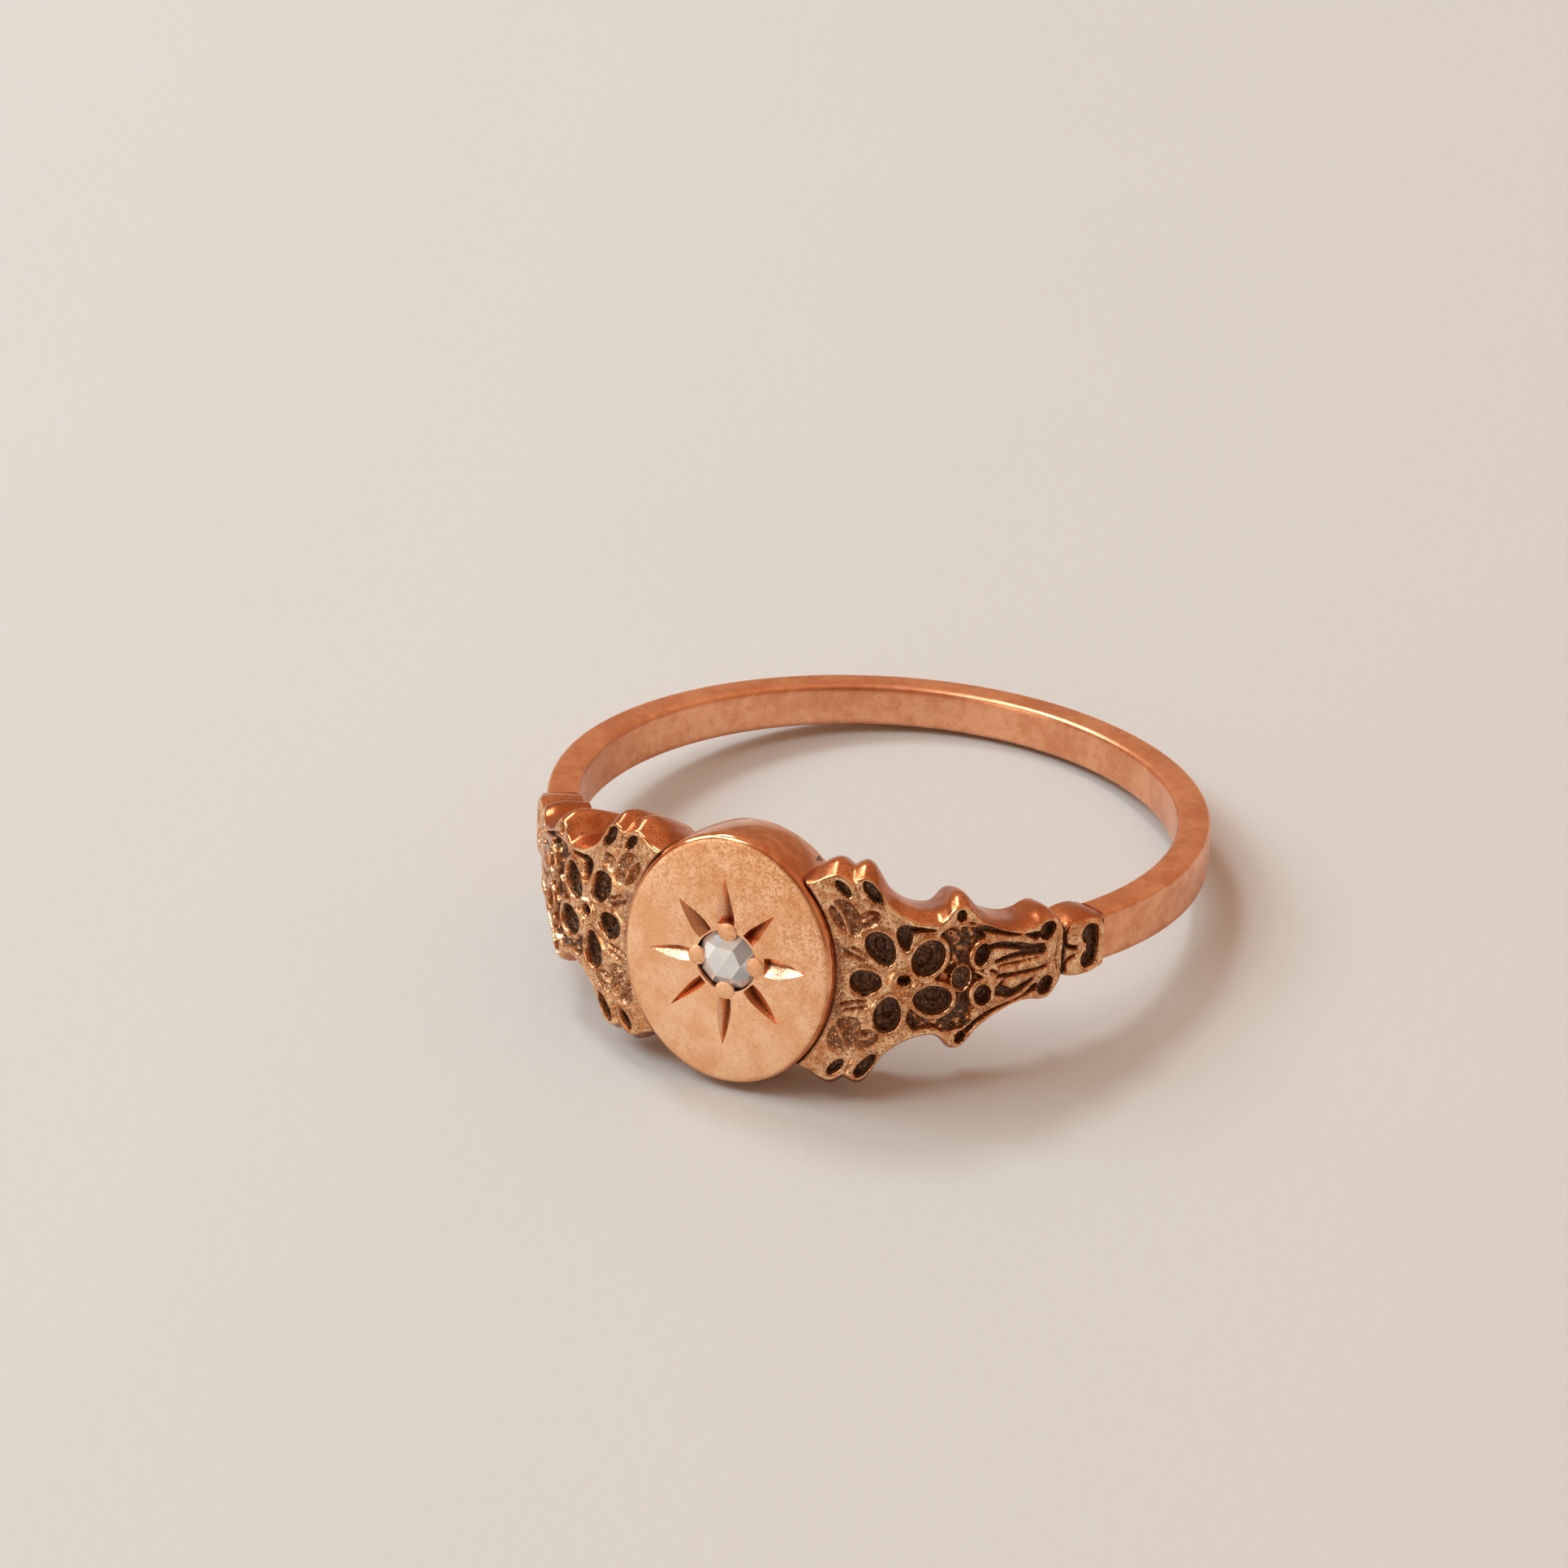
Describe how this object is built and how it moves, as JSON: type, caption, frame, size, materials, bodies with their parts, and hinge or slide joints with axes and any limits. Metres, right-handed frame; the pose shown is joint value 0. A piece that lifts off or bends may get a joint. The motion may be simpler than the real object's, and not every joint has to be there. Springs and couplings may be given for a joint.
{
  "type": "signet ring",
  "caption": "Lady's signet ring: an oval table, star-set with a rose-cut stone, between scalloped floral shoulders, with end collars and a slim plain shank.",
  "frame": {"origin": "on the surface that the ring lies on, under the middle of its box", "axes": "the ring lies on its side and leans back 9.4 degrees: the signet table faces -Y and a little up, the finger axis is near +Z, the back of the shank is towards +Y, and +X is the wearer's side to the right of the table"},
  "size_m": [0.0192, 0.0208, 0.0076],
  "materials": {
    "rose_gold_polished": "worn satin polish",
    "rose_gold_matt": "fine matt with bright-cut edges",
    "rose_gold_oxidised": "satin on the high relief, blackened in the hollows",
    "silver_foil": "bright foil",
    "diamond": "faceted, clear, slightly grey"
  },
  "bodies": {
    "root": {"shank": "rose_gold_polished", "collar_left": "rose_gold_oxidised", "collar_right": "rose_gold_oxidised", "shoulder_left": "rose_gold_oxidised", "shoulder_right": "rose_gold_oxidised", "signet_table": "rose_gold_matt", "stone_foil": "silver_foil", "diamond": "diamond", "grain_top": "rose_gold_matt", "grain_right": "rose_gold_matt", "grain_bottom": "rose_gold_matt", "grain_left": "rose_gold_matt"}
  },
  "joints": []
}
